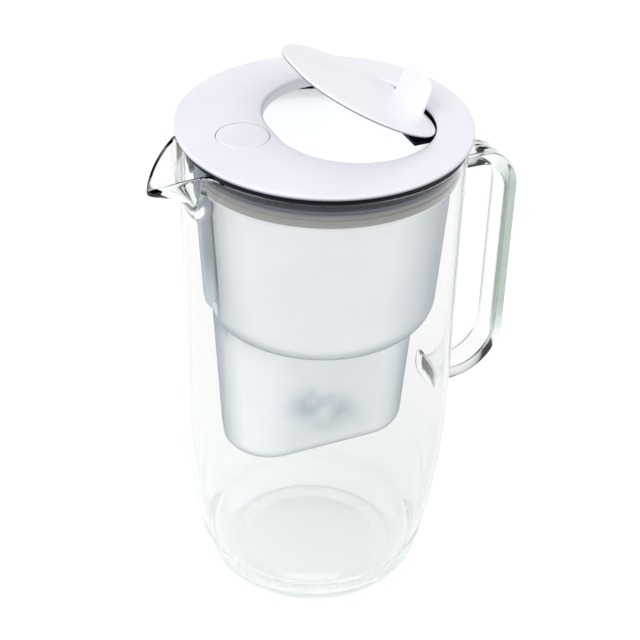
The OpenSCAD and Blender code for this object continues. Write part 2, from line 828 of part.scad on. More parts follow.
// Sprung strip between the cell and the board, bent to a Z
module indicator_contact() {
    strip_t = 0.25;
    strip_w = 4;
    half_l = 6;
    gap = board_top - board_t - cell_top;
    color("goldenrod") at_indicator() translate([0, 0, cell_top]) rotate([90, 0, 0])
        linear_extrude(strip_w, center = true)
            polygon([[-half_l, 0], [1, 0], [2, gap - strip_t], [half_l, gap - strip_t],
                [half_l, gap], [2 - strip_t, gap], [1 - strip_t, strip_t],
                [-half_l, strip_t]]);
}

module indicator_door() {
    plug_r = housing_bore - 0.6;
    slot = [8, 1.6, 0.8];
    color("lightgray") at_indicator() difference() {
        union() {
            translate([0, 0, housing_base + 0.2])
                cylinder(h = door_flange, r = housing_bore - part_gap);
            translate([0, 0, housing_base + 0.2])
                cylinder(h = cell_base - housing_base - 0.2, r = plug_r);
        }
        translate([-slot[0] / 2, -slot[1] / 2, housing_base])
            cube([slot[0], slot[1], slot[2] + 0.2]);
    }
}

module indicator_seal() {
    seal_base = housing_base + 0.2 + door_flange;
    color("dimgray") at_indicator()
        ring(housing_bore - 0.05, housing_bore - 0.55, seal_base,
            cell_base + 0.2 - seal_base);
}

glass_body();
glass_handle();
funnel();
funnel_collar();
cartridge_shell();
cartridge_cap();
cartridge_seal();
cartridge_top_screen();
cartridge_bottom_screen();
cartridge_media();
lid_cover();
lid_carrier();
hinge_bracket();
flap();
indicator_housing();
indicator_button();
indicator_switch();
indicator_board();
indicator_led();
indicator_battery();
indicator_contact();
indicator_door();
indicator_seal();
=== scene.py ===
from math import atan2, cos, pi, radians, sin, sqrt

import bmesh
import bpy
import numpy as np
from mathutils import Matrix, Quaternion, Vector


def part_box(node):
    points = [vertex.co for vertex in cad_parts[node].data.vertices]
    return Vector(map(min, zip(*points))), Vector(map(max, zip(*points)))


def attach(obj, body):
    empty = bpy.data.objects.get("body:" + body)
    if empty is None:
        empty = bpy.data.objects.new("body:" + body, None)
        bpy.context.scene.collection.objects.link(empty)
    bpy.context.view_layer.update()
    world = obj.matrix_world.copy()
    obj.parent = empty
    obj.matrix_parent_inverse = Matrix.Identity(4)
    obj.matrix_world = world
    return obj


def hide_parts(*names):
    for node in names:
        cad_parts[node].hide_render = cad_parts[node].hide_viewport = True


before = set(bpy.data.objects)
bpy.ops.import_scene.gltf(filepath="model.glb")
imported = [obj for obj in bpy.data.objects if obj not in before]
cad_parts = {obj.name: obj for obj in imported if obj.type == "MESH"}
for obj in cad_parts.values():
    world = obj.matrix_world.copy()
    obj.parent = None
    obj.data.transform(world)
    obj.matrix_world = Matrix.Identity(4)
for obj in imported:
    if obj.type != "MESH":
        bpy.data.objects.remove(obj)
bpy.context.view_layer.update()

# ---- Camera ----
# A long lens in front of the jug, on the side of its spout. It looks down on the open lid from
# nearly a metre away, and leans over by two degrees.
camera_data = bpy.data.cameras.new("camera")
camera_data.lens = 95.3
camera_data.clip_start = 0.05
camera_heading = radians(25.08)
camera_dip = radians(34.61)
camera_roll = radians(1.94)
sight_line = Vector((sin(camera_heading) * cos(camera_dip),
                     cos(camera_heading) * cos(camera_dip),
                     -sin(camera_dip)))
camera = bpy.data.objects.new("camera", camera_data)
camera.location = (-0.3166, -0.6790, 0.6725)
camera.rotation_mode = "QUATERNION"
camera.rotation_quaternion = sight_line.to_track_quat("-Z", "Y") @ Quaternion((0, 0, 1), camera_roll)
bpy.context.collection.objects.link(camera)
bpy.context.scene.camera = camera

# ---- Glass jug ----
# One piece of clear borosilicate glass: a blown body whose lip is pulled out to a spout while hot.
# The wall draws in to a rounded foot, and the strap of the handle is fused to it.
mm = 0.001
rim_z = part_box("glass_body")[1].z
wall_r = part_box("glass_body")[1].y
wall_t = 2.8 * mm
foot_t = 4.5 * mm
taper_start = 115 * mm  # the wall draws in below this height
taper_curve_r = 480 * mm
foot_edge_r = 16 * mm
bowl_edge_r = 25 * mm  # inside, the floor runs up into the wall in a wide curve
punt_r = 38 * mm
punt_depth = 1.6 * mm
bead_h = wall_t / 2
spout_base_z = 236 * mm  # nothing of the spout reaches below this
spout_reach = 21.4 * mm
spout_half_w = 22.5 * mm
spout_depth = 26.5 * mm
spout_drop = 15.8 * mm
spout_dip = 2.3 * mm  # the lip dips by this beside the wall, before it falls to the tip
spout_blend = 7 * mm  # how softly the spout grows out of the wall
spout_taper = 0.6  # below 1 the spout stays wide for longer, and closes more suddenly
spout_flattening = 0.39  # share of its depth that the channel loses on the way to its tip


def smooth_min(a, b, soft):
    """The smaller of two lengths, with the crease between them rounded."""
    share = np.clip(0.5 + 0.5 * (b - a) / soft, 0, 1)
    return b + (a - b) * share - soft * share * (1 - share)


def lip_height(out):
    """Height of the lip at a distance from the axis towards the spout: level, then falling."""
    along = np.clip((out - wall_r) / spout_reach, 0, 1)
    return rim_z - spout_dip * (1 - (1 - along) ** 4) - (spout_drop - spout_dip) * along**2


def glass_depth(radius, z, angle, inset):
    """How far a point lies outside the glass surface, the angle counted from the spout's direction."""
    out = radius * np.cos(angle)
    along = (out - wall_r) / (spout_reach - inset)
    narrow = np.maximum(1 - np.maximum(along, 0), 1e-4) ** spout_taper
    half_w = (spout_half_w - inset) * narrow
    depth = (spout_depth - inset) * narrow * (1 - spout_flattening * np.clip(along, 0, 1))
    oval = np.hypot(radius * np.sin(angle) / half_w, (lip_height(out) - z) / depth)
    spout = np.where(out > 0, (oval - 1) * np.sqrt(half_w * depth), 1.0)
    return smooth_min(radius - (wall_r - inset), spout, spout_blend)


pivot_r = 58 * mm  # every point of the upper wall can be seen from this ring inside the jug
pivot_z = 262 * mm
far_reach = 60 * mm  # no glass lies further than this from the ring


def walk_out(angle, inset, height_at):
    """Radius at which a path from the pivot ring leaves the glass surface, at each angle."""
    reach = np.linspace(0, far_reach, 200)[:, None] + 0 * angle
    depth = glass_depth(pivot_r + reach, height_at(reach), angle, inset)
    beyond = np.maximum(np.argmax(depth > 0, axis=0), 1)
    column = np.arange(len(angle))
    before, after = depth[beyond - 1, column], depth[beyond, column]
    near, far = reach[beyond - 1, column], reach[beyond, column]
    return pivot_r + near + (far - near) * before / (before - after)


def lip_radius(angle, inset):
    """Radius of the lip's edge, just under its rounded bead."""
    return walk_out(angle, inset, lambda reach: lip_height((pivot_r + reach) * np.cos(angle)) - bead_h)


def upper_wall(angle, inset, share):
    """Radius and height of the wall and spout, from the spout's foot (share 0) to the lip (share 1)."""
    top_r = lip_radius(angle, inset)
    top_z = lip_height(top_r * np.cos(angle)) - bead_h
    low = atan2(spout_base_z - pivot_z, wall_r - inset - pivot_r)
    high = np.arctan2(top_z - pivot_z, top_r - pivot_r)
    tilt = low + share * (high - low)
    slope = np.tan(tilt)
    radius = walk_out(angle, inset, lambda reach: pivot_z + reach * slope)
    return radius, pivot_z + (radius - pivot_r) * slope


def grid_mesh(name, rows):
    """A mesh from rows of points. Each row closes to a ring and is joined to the next."""
    verts = [tuple(p) for row in rows for p in row]
    count = len(rows[0])
    faces = []
    for i in range(len(rows) - 1):
        for j in range(count):
            k = (j + 1) % count
            faces.append((i * count + j, i * count + k, (i + 1) * count + k, (i + 1) * count + j))
    mesh = bpy.data.meshes.new(name)
    mesh.from_pydata(verts, [], faces)
    work = bmesh.new()
    work.from_mesh(mesh)
    bmesh.ops.remove_doubles(work, verts=work.verts, dist=1e-6)
    bmesh.ops.recalc_face_normals(work, faces=work.faces)
    work.to_mesh(mesh)
    work.free()
    return mesh


def smooth_edges(mesh):
    """Shades a mesh smooth, and keeps its sharp edges crisp."""
    sharp_from = radians(40)
    mesh.polygons.foreach_set("use_smooth", [True] * len(mesh.polygons))
    mesh.set_sharp_from_angle(angle=sharp_from)
    mesh.update()


def add_piece(name, mesh, body):
    """Puts a mesh in the scene and lets it ride on a body."""
    piece = bpy.data.objects.new(name, mesh)
    bpy.context.collection.objects.link(piece)
    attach(piece, body)
    return piece


def wall_radius(z, inset):
    """Radius of the plain wall at a height."""
    below = max(taper_start - z, 0)
    return wall_r - taper_curve_r + sqrt((taper_curve_r - inset) ** 2 - below**2)


def jug_rows():
    """The jug's surface from the middle of the foot, up the outside, over the rim and down inside."""
    at_spout = np.radians(np.linspace(-24, 24, 120))  # finer steps here
    elsewhere = np.radians(np.linspace(24, 336, 150)[1:-1])
    angle = np.concatenate([at_spout, elsewhere])
    rows = []

    def add(radius, z):
        radius = radius + 0 * angle
        rows.append(np.c_[-radius * np.cos(angle), -radius * np.sin(angle), z + 0 * angle])

    def side(inset, floor_z, corner_r):
        corner_z = floor_z + corner_r
        centre_x = wall_r - taper_curve_r
        from_centre = taper_curve_r - inset - corner_r
        corner_x = centre_x + sqrt(from_centre**2 - (taper_start - corner_z) ** 2)
        tangent = atan2(corner_z - taper_start, corner_x - centre_x)
        turn = [(corner_x + corner_r * cos(a), corner_z + corner_r * sin(a))
                for a in np.linspace(-pi / 2, tangent, 18)]
        heights = np.concatenate([np.linspace(turn[-1][1], taper_start, 20)[1:],
                                  np.linspace(taper_start, spout_base_z, 10)[1:-1]])
        turn += [(wall_radius(z, inset), z) for z in heights]
        return turn + [upper_wall(angle, inset, share) for share in np.linspace(0, 1, 50)]

    punt_curve_r = (punt_r**2 + punt_depth**2) / (2 * punt_depth)
    for r in np.linspace(0, punt_r, 14):
        add(r, punt_depth - punt_curve_r + sqrt(punt_curve_r**2 - r**2))
    for radius, z in side(0, 0, foot_edge_r):
        add(radius, z)
    outer, inner = lip_radius(angle, 0), lip_radius(angle, wall_t)
    for a in np.linspace(0, pi, 12)[1:-1]:
        radius = (outer + inner) / 2 + (outer - inner) / 2 * cos(a)
        add(radius, lip_height(radius * np.cos(angle)) - bead_h + bead_h * sin(a))
    inside = side(wall_t, foot_t, bowl_edge_r)
    for radius, z in reversed(inside):
        add(radius, z)
    for r in np.linspace(inside[0][0], 0, 8)[1:]:
        add(r, foot_t)
    return rows


strap_t = 8 * mm
strap_w = 17.6 * mm
strap_edge = 1.7 * mm
grip_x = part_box("glass_handle")[1].x - strap_t / 2
arm_top_z = 240.5 * mm
arm_bottom_z = 104 * mm
bend_top_r = 21 * mm
bend_bottom_r = 27 * mm
root_flare = 4 * mm  # the strap spreads by this where it is fused to the wall
root_x = wall_r - 1.9 * mm


def rounded_oblong(half_t, half_w, edge_r):
    """Points round an oblong with rounded corners, in thickness and width from its middle."""
    points = []
    for side_t, side_w, start in ((1, 1, 0), (-1, 1, 90), (-1, -1, 180), (1, -1, 270)):
        for a in np.radians(np.linspace(start, start + 90, 7)):
            points.append((side_t * (half_t - edge_r) + edge_r * cos(a),
                           side_w * (half_w - edge_r) + edge_r * sin(a)))
    return points


def handle_rows():
    """The strap of the handle, from its upper root round the grip to its lower root."""
    path = []

    def bend(centre_z, bend_r, start, end):
        for a in np.linspace(start, end, 18)[1:]:
            path.append((grip_x - bend_r + bend_r * cos(a), centre_z + bend_r * sin(a), a))

    root_steps = np.concatenate([[root_x], wall_r + root_flare * np.linspace(0, 1, 12) ** 1.5])
    for x in [*root_steps, grip_x - bend_top_r]:
        path.append((x, arm_top_z, pi / 2))
    bend(arm_top_z - bend_top_r, bend_top_r, pi / 2, 0)
    for z in np.linspace(arm_top_z - bend_top_r, arm_bottom_z + bend_bottom_r, 12)[1:]:
        path.append((grip_x, z, 0))
    bend(arm_bottom_z + bend_bottom_r, bend_bottom_r, 0, -pi / 2)
    for x in root_steps[::-1]:
        path.append((x, arm_bottom_z, -pi / 2))
    rows = []
    for x, z, out in path:
        near_wall = np.clip(wall_r + root_flare - x, 0, root_flare)
        flare = root_flare - sqrt(root_flare**2 - near_wall**2)
        outline = rounded_oblong(strap_t / 2 + flare, strap_w / 2 + flare, strap_edge + flare)
        rows.append([(x + t * cos(out), w, z + t * sin(out)) for t, w in outline])
    return rows


def closed_ends(mesh):
    """Fills the open ends of a swept mesh."""
    work = bmesh.new()
    work.from_mesh(mesh)
    bmesh.ops.holes_fill(work, edges=[e for e in work.edges if e.is_boundary], sides=0)
    bmesh.ops.recalc_face_normals(work, faces=work.faces)
    work.to_mesh(mesh)
    work.free()


def fused(name, first, second):
    """One mesh from two closed ones that overlap."""
    pair = [bpy.data.objects.new("fuse", mesh) for mesh in (first, second)]
    for piece in pair:
        bpy.context.collection.objects.link(piece)
    union = pair[0].modifiers.new("union", "BOOLEAN")
    union.operation = "UNION"
    union.solver = "EXACT"
    union.object = pair[1]
    bpy.context.view_layer.update()
    result = pair[0].evaluated_get(bpy.context.evaluated_depsgraph_get())
    mesh = bpy.data.meshes.new_from_object(result)
    mesh.name = name
    for piece in pair:
        bpy.data.objects.remove(piece)
    return mesh


handle_mesh = grid_mesh("handle", handle_rows())
closed_ends(handle_mesh)
jug_mesh = fused("jug_glass", grid_mesh("jug", jug_rows()), handle_mesh)
smooth_edges(jug_mesh)
jug = add_piece("jug_glass", jug_mesh, "jug")
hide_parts("glass_body", "glass_handle")


def new_material(name):
    """A node material that shows its own plain shader so far."""
    material = bpy.data.materials.new(name)
    material.use_nodes = True
    tree = material.node_tree
    tree.nodes.clear()
    output = tree.nodes.new("ShaderNodeOutputMaterial")
    shader = tree.nodes.new("ShaderNodeBsdfPrincipled")
    tree.links.new(shader.outputs["BSDF"], output.inputs["Surface"])
    return material, tree, shader


def feed(tree, socket, value):
    """Sets a node's input to a fixed value, or links it to another node's output."""
    if isinstance(value, bpy.types.NodeSocket):
        tree.links.new(value, socket)
    else:
        socket.default_value = value


def own_point(tree):
    """The shaded point in the object's own space."""
    return tree.nodes.new("ShaderNodeTexCoord").outputs["Object"]


def own_place(tree):
    """The X, Y and Z of the shaded point in the object's own space."""
    parts = tree.nodes.new("ShaderNodeSeparateXYZ")
    tree.links.new(own_point(tree), parts.inputs["Vector"])
    return parts.outputs


def mapped(tree, point, scale=(1, 1, 1), location=(0, 0, 0), rotation=(0, 0, 0), kind="POINT"):
    """A point stretched, turned and shifted. The kind TEXTURE does the same backwards."""
    mapping = tree.nodes.new("ShaderNodeMapping")
    mapping.vector_type = kind
    mapping.inputs["Scale"].default_value = scale
    mapping.inputs["Location"].default_value = location
    mapping.inputs["Rotation"].default_value = rotation
    tree.links.new(point, mapping.inputs["Vector"])
    return mapping.outputs["Vector"]


def add_math(tree, operation, *values, kind="ShaderNodeMath"):
    """The value worked out from one or two others, each a number or a node's output."""
    node = tree.nodes.new(kind)
    node.operation = operation
    for socket, value in zip(node.inputs, values):
        feed(tree, socket, value)
    return node.outputs["Value"]


def all_of(tree, first, *others):
    """The product of several shares: 1 only where each of them is 1."""
    for other in others:
        first = add_math(tree, "MULTIPLY", first, other)
    return first


def add_range(tree, source, start, end, low=0.0, high=1.0):
    """Runs from low to high while a node's value goes from start to end."""
    node = tree.nodes.new("ShaderNodeMapRange")
    names = ("Value", "From Min", "From Max", "To Min", "To Max")
    for name, value in zip(names, (source, start, end, low, high)):
        feed(tree, node.inputs[name], value)
    return node.outputs["Result"]


def add_noise(tree, scale, detail, stretch=(1, 1, 1)):
    """Noise over the object's own space, in features per metre, drawn out along an axis where asked."""
    noise = tree.nodes.new("ShaderNodeTexNoise")
    noise.inputs["Scale"].default_value = scale
    noise.inputs["Detail"].default_value = detail
    tree.links.new(mapped(tree, own_point(tree), stretch), noise.inputs["Vector"])
    return noise.outputs["Fac"]


def vary(tree, socket, noise, low, high):
    """Varies an input between two limits by noise, which mostly stays between 0.3 and 0.7."""
    tree.links.new(add_range(tree, noise, 0.3, 0.7, low, high), socket)


def add_bump(tree, shader, source, depth):
    """Raises the surface by a value, with the depth in metres."""
    bump = tree.nodes.new("ShaderNodeBump")
    bump.inputs["Distance"].default_value = depth
    tree.links.new(source, bump.inputs["Height"])
    tree.links.new(bump.outputs["Normal"], shader.inputs["Normal"])


def mix_colours(tree, share, first, second, blend="MIX"):
    """Lets the second colour come in over the first by a share."""
    node = tree.nodes.new("ShaderNodeMix")
    node.data_type = "RGBA"
    node.blend_type = blend
    for name, value in (("Factor", share), ("A", first), ("B", second)):
        feed(tree, node.inputs[name], value)
    return node.outputs["Result"]


def mix_shaders(tree, share, first, second):
    """Lets the second shader come in over the first by a share."""
    node = tree.nodes.new("ShaderNodeMixShader")
    for socket, value in zip(node.inputs, (share, first, second)):
        feed(tree, socket, value)
    return node.outputs["Shader"]


def clear_glass():
    """Clear glass with a trace of green in its depth and the faint waves of blown ware."""
    material, tree, shader = new_material("clear_glass")
    output = tree.nodes["Material Output"]
    shader.inputs["Transmission Weight"].default_value = 1.0
    shader.inputs["IOR"].default_value = 1.47
    shader.inputs["Specular Tint"].default_value = (0.5, 0.5, 0.5, 1)
    vary(tree, shader.inputs["Roughness"], add_noise(tree, 35, 4), 0.0, 0.015)
    add_bump(tree, shader, add_noise(tree, 22, 1, (1, 1, 0.35)), 0.12 * mm)
    depth = tree.nodes.new("ShaderNodeVolumeAbsorption")
    depth.inputs["Color"].default_value = (0.78, 0.86, 0.84, 1)
    depth.inputs["Density"].default_value = 13.0
    tree.links.new(depth.outputs["Volume"], output.inputs["Volume"])

    # Greener and darker where the strap's grip is looked at through its width: partly the glass's own green
    # depth, partly painted shade for the dark edges its sides show
    place = own_place(tree)
    off_middle = add_math(tree, "ABSOLUTE", place["Y"])
    grip_green_and_shade = all_of(tree,
                     add_range(tree, place["X"], grip_x - 6 * mm, grip_x - 3.5 * mm),
                     add_range(tree, off_middle, strap_w / 2 - 1.4 * mm, strap_w / 2 - 0.6 * mm),
                     add_range(tree, place["Z"], arm_bottom_z + 14 * mm, arm_bottom_z + 36 * mm),
                     add_range(tree, place["Z"], arm_top_z - 4.5 * mm, arm_top_z - 18.5 * mm))
    tint = mix_colours(tree, grip_green_and_shade, (0.905, 0.915, 0.91, 1), (0.45, 0.52, 0.46, 1))
    tree.links.new(tint, shader.inputs["Base Color"])

    # Soft light passes straight through, and near the foot most of what is seen does as well
    see_through = tree.nodes.new("ShaderNodeBsdfTransparent")
    see_through.inputs["Color"].default_value = (0.985, 0.99, 0.99, 1)
    path = tree.nodes.new("ShaderNodeLightPath")
    soft_light = add_math(tree, "MAXIMUM", path.outputs["Is Shadow Ray"], path.outputs["Is Diffuse Ray"])
    at_foot = add_range(tree, place["Z"], 14 * mm, 3 * mm, 0.0, 0.75)
    straight = add_math(tree, "MAXIMUM", soft_light, at_foot)
    surface = mix_shaders(tree, straight, shader.outputs["BSDF"], see_through.outputs["BSDF"])
    tree.links.new(surface, output.inputs["Surface"])
    return material


jug.data.materials.clear()
jug.data.materials.append(clear_glass())

# ---- Funnel ----
# A frosted, see-through plastic bowl that hangs in the jug, with the oval chamber of the cartridge
# moulded under its floor. A groove down its side lets filtered water pass up to the spout.
groove_half_w = 10.5 * mm
groove_x = -44 * mm  # the groove lies beyond this
groove_foot_z = 166 * mm
collar_highlight_z = 248.4 * mm  # from here up, a painted highlight glows on the wall under the collar
# Where and how large the wispy painted shade of the granules lies on the chamber's side
granule_shade_place = (-8 * mm, -30 * mm, 117 * mm)
granule_shade_tilt = radians(35)
granule_shade_size = (30 * mm, 12 * mm, 17 * mm)


def finish_node(name, material):
    """Gives a machined or moulded piece its finished surface."""
    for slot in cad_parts[name].material_slots:
        slot.material = material


def add_ramp(tree, source, stops):
    """A colour that changes with a node's value, from stops that give a place and a colour each."""
    ramp = tree.nodes.new("ShaderNodeValToRGB")
    points = ramp.color_ramp.elements
    points[0].position = stops[0][0]
    points[1].position = stops[-1][0]
    for position, _ in stops[1:-1]:
        points.new(position)
    for point, (_, colour) in zip(points, stops):
        point.color = (*colour, 1)
    tree.links.new(source, ramp.inputs["Fac"])
    return ramp.outputs["Color"]


def soft_colour(tree, noise, dark, light):
    """A colour that drifts between two shades over the surface."""
    return add_ramp(tree, noise, ((0.35, dark), (0.65, light)))


def tinted(tree, colour, tint, share):
    """A colour multiplied by a tint where the share is 1."""
    return mix_colours(tree, share, colour, (*tint, 1), "MULTIPLY")


def groove_shade(tree, colour):
    """Paints shade into the pouring groove, more on its sides, and dark lines of painted shade along its
    edges.
    """
    place = own_place(tree)
    off_middle = add_math(tree, "ABSOLUTE", place["Y"])

    def across(start, end):
        return add_range(tree, off_middle, groove_half_w + start * mm, groove_half_w + end * mm)

    at_groove = all_of(tree, add_range(tree, place["X"], groove_x, groove_x - 3 * mm),
                       add_range(tree, place["Z"], groove_foot_z, groove_foot_z + 2 * mm))
    in_groove = all_of(tree, at_groove, across(0.7, 0.3))
    groove_side = all_of(tree, in_groove, across(-0.5, -0.2))
    edge_end = add_range(tree, place["Z"], groove_foot_z + 12 * mm, groove_foot_z + 39 * mm)
    groove_edge = all_of(tree, at_groove, across(0.1, 0.4), across(3.1, 2.3), edge_end)
    colour = tinted(tree, colour, (0.79, 0.83, 0.87), in_groove)
    colour = tinted(tree, colour, (0.8, 0.83, 0.86), groove_side)
    return tinted(tree, colour, (0.04, 0.05, 0.07), groove_edge)


def granule_shade(tree, colour):
    """A wispy patch of painted shade on the side of the chamber, standing in for the dark granules seen
    through the frosting.
    """
    near_granule_shade = mapped(tree, own_point(tree), granule_shade_size, granule_shade_place, (0, granule_shade_tilt, 0), "TEXTURE")
    patch = tree.nodes.new("ShaderNodeTexGradient")
    patch.gradient_type = "SPHERICAL"
    tree.links.new(near_granule_shade, patch.inputs["Vector"])
    wisps = add_range(tree, add_noise(tree, 60, 4), 0.4, 0.62)
    granule_shaded = all_of(tree, add_range(tree, patch.outputs["Fac"], 0.0, 0.55), wisps)
    return tinted(tree, colour, (0.72, 0.77, 0.82), granule_shaded)


def painted_glow(tree):
    """Strength of a painted glow, by emission: most on the faces turned to the axis, inside the bowl, and a
    painted highlight line under the collar.
    """
    outward = mapped(tree, own_point(tree), (1, 1, 0), (0, 0, -40 * mm))  # away from the axis, and down
    normal = tree.nodes.new("ShaderNodeTexCoord").outputs["Normal"]
    outside = add_math(tree, "DOT_PRODUCT", outward, normal, kind="ShaderNodeVectorMath")
    inner_glow = add_range(tree, outside, -38 * mm, -22 * mm, 0.6, 0.18)
    height = own_place(tree)["Z"]
    collar_highlight = add_range(tree, height, collar_highlight_z, collar_highlight_z + 1.4 * mm, 0.0, 0.26)
    return add_math(tree, "MAXIMUM", inner_glow, collar_highlight)


def frosted_plastic():
    """Frosted plastic with a painted glow, and painted shade where it is seen edge-on, which stands in part
    for its denser look there.
    """
    material, tree, shader = new_material("frosted_plastic")
    pale = soft_colour(tree, add_noise(tree, 14, 2), (0.945, 0.957, 0.96), (0.98, 0.985, 0.988))
    # Painted shade: the wall turns darker and bluer where it is seen edge-on, also along the bowl's lower
    # rounding
    grazing = tree.nodes.new("ShaderNodeLayerWeight")
    grazing.inputs["Blend"].default_value = 0.5
    edge_on_shade = add_ramp(tree, grazing.outputs["Facing"], ((0.36, (1, 1, 1)), (0.95, (0.22, 0.27, 0.33))))
    colour = mix_colours(tree, 1.0, pale, edge_on_shade, "MULTIPLY")
    # Painted shade in the groove, and a wispy painted shade where the granules lie behind the chamber's side
    colour = granule_shade(tree, groove_shade(tree, colour))
    tree.links.new(colour, shader.inputs["Base Color"])
    # The frosting glows by emission, with the shades painted into its colour: painted light, from no lamp
    tree.links.new(colour, shader.inputs["Emission Color"])
    tree.links.new(painted_glow(tree), shader.inputs["Emission Strength"])
    vary(tree, shader.inputs["Roughness"], add_noise(tree, 180, 3), 0.36, 0.5)
    add_bump(tree, shader, add_noise(tree, 1400, 2), 0.02 * mm)
    glow = tree.nodes.new("ShaderNodeBsdfTranslucent")
    tree.links.new(colour, glow.inputs["Color"])
    clear = tree.nodes.new("ShaderNodeBsdfTransparent")
    haze = mix_shaders(tree, 0.55, shader.outputs["BSDF"], glow.outputs["BSDF"])
    wall = mix_shaders(tree, 0.24, haze, clear.outputs["BSDF"])
    tree.links.new(wall, tree.nodes["Material Output"].inputs["Surface"])
    return material


finish_node("funnel", frosted_plastic())

# ---- Collar ----
# A band of smoke-grey rubbery plastic pressed round the funnel's rim. Its lips seal against the
# glass, and its flange rests on the rim of the jug and carries the funnel.
band_base_z = 255.6 * mm
flange_top_z = 271.3 * mm


def smoke_seal():
    """Smoke-grey elastomer with painted shade: darker and bluer up to black at its flange, under the lid, and
    a dark line in the groove between its lips.
    """
    material, tree, shader = new_material("smoke_seal")
    height = add_range(tree, own_place(tree)["Z"], band_base_z, flange_top_z)
    # Grey bands by height, with painted shade in the groove between the lips and blue-black painted shade up
    # to the flange
    seal_bands_and_shade = ((0.0, (0.3, 0.31, 0.31)), (0.04, (0.36, 0.355, 0.335)), (0.31, (0.33, 0.325, 0.31)),
             (0.42, (0.22, 0.22, 0.23)), (0.48, (0.08, 0.085, 0.1)), (0.54, (0.15, 0.165, 0.21)),
             (0.6, (0.08, 0.095, 0.135)), (0.66, (0.018, 0.025, 0.045)), (0.72, (0.002, 0.003, 0.008)),
             (1.0, (0.002, 0.003, 0.007)))
    tree.links.new(add_ramp(tree, height, seal_bands_and_shade), shader.inputs["Base Color"])
    vary(tree, shader.inputs["Roughness"], add_noise(tree, 120, 3), 0.3, 0.42)
    shader.inputs["Specular IOR Level"].default_value = 0.2
    add_bump(tree, shader, add_noise(tree, 900, 2, (1, 1, 3)), 0.02 * mm)
    return material


finish_node("funnel_collar", smoke_seal())

# ---- Cartridge ----
# An oval cup of white plastic with slots in its floor, closed by a domed cap with a finger loop.
# Dark granules fill it between two mesh screens, and a soft ring seals it in the chamber.


def moulded_plastic(name, dark, light, rough, grain=900, depth=0.02 * mm, gloss=0.5):
    """Moulded plastic: a faint drift of shade, a fine satin grain and patches that are more polished."""
    material, tree, shader = new_material(name)
    tree.links.new(soft_colour(tree, add_noise(tree, 18, 2), dark, light), shader.inputs["Base Color"])
    vary(tree, shader.inputs["Roughness"], add_noise(tree, 60, 4), *rough)
    shader.inputs["Specular IOR Level"].default_value = gloss
    add_bump(tree, shader, add_noise(tree, grain, 2), depth)
    return material


def packed_granules():
    """Dark carbon grains packed with paler beads."""
    material, tree, shader = new_material("packed_granules")
    grains = tree.nodes.new("ShaderNodeTexVoronoi")
    grains.inputs["Scale"].default_value = 900
    tree.links.new(own_point(tree), grains.inputs["Vector"])
    shades = add_ramp(tree, grains.outputs["Color"], ((0.0, (0.02, 0.02, 0.022)), (0.8, (0.2, 0.17, 0.12))))
    tree.links.new(shades, shader.inputs["Base Color"])
    shader.inputs["Roughness"].default_value = 0.7
    add_bump(tree, shader, grains.outputs["Distance"], 0.4 * mm)
    return material


def woven_mesh():
    """Fine woven screen, drawn as crossing threads."""
    material, tree, shader = new_material("woven_mesh")
    threads = []
    for direction in ("X", "Y"):
        wave = tree.nodes.new("ShaderNodeTexWave")
        wave.bands_direction = direction
        wave.inputs["Scale"].default_value = 600
        tree.links.new(own_point(tree), wave.inputs["Vector"])
        threads.append(wave.outputs["Fac"])
    weave = add_math(tree, "MAXIMUM", *threads)
    shades = add_ramp(tree, weave, ((0.0, (0.12, 0.12, 0.12)), (1.0, (0.68, 0.69, 0.7))))
    tree.links.new(shades, shader.inputs["Base Color"])
    shader.inputs["Roughness"].default_value = 0.55
    add_bump(tree, shader, weave, 0.1 * mm)
    return material


cartridge_white = moulded_plastic("cartridge_white", (0.80, 0.81, 0.82), (0.86, 0.87, 0.88), (0.35, 0.5))
finish_node("cartridge_shell", cartridge_white)
finish_node("cartridge_cap", cartridge_white)
finish_node("cartridge_seal", moulded_plastic("seal_grey", (0.42, 0.43, 0.44), (0.5, 0.5, 0.52), (0.45, 0.6)))
screen_mesh = woven_mesh()
finish_node("cartridge_top_screen", screen_mesh)
finish_node("cartridge_bottom_screen", screen_mesh)
finish_node("cartridge_media", packed_granules())

# ---- Lid ----
# A round white cover with an oval filling hole, clipped on a dark carrier ring whose skirt plugs
# into the collar. A dark bracket under the hole's rear edge bears the pins of the flap.
cover_shade_r = 72 * mm  # outside this the cover's edge turns down and is painted darker, as shade
cover_shade_z = 275.1 * mm
cover_dark_z = 274.0 * mm

lid_dark = moulded_plastic("lid_dark", (0.002, 0.003, 0.007), (0.005, 0.006, 0.012), (0.34, 0.46),
                           depth=0.015 * mm, gloss=0.08)


def polished_white(name, dark=(0.81, 0.815, 0.875), light=(0.85, 0.855, 0.91), rough=(0.3, 0.42)):
    """The lid's smooth white plastic, with a finer and shallower grain."""
    return moulded_plastic(name, dark, light, rough, grain=1300, depth=0.012 * mm)


def shaded_under(material, direction, start, end, round_r=0):
    """Paints shade into a plastic, darker and bluer along a direction, only outside a radius where one is
    given.
    """
    tree = material.node_tree
    base = tree.nodes["Principled BSDF"].inputs["Base Color"]
    point = own_point(tree)
    vector_math = "ShaderNodeVectorMath"
    height = add_math(tree, "DOT_PRODUCT", point, direction, kind=vector_math)
    radius = add_math(tree, "LENGTH", mapped(tree, point, (1, 1, 0)), kind=vector_math)
    shade = all_of(tree, add_range(tree, height, start, end),
                   add_range(tree, radius, round_r - 2 * mm, round_r))
    plain = base.links[0].from_socket
    tree.links.new(tinted(tree, plain, (0.2, 0.21, 0.27), shade), base)
    return material


cover_white = polished_white("lid_cover_white")
finish_node("lid_cover", shaded_under(cover_white, (0, 0, 1), cover_shade_z, cover_dark_z, cover_shade_r))
finish_node("lid_carrier", lid_dark)
finish_node("hinge_bracket", lid_dark)

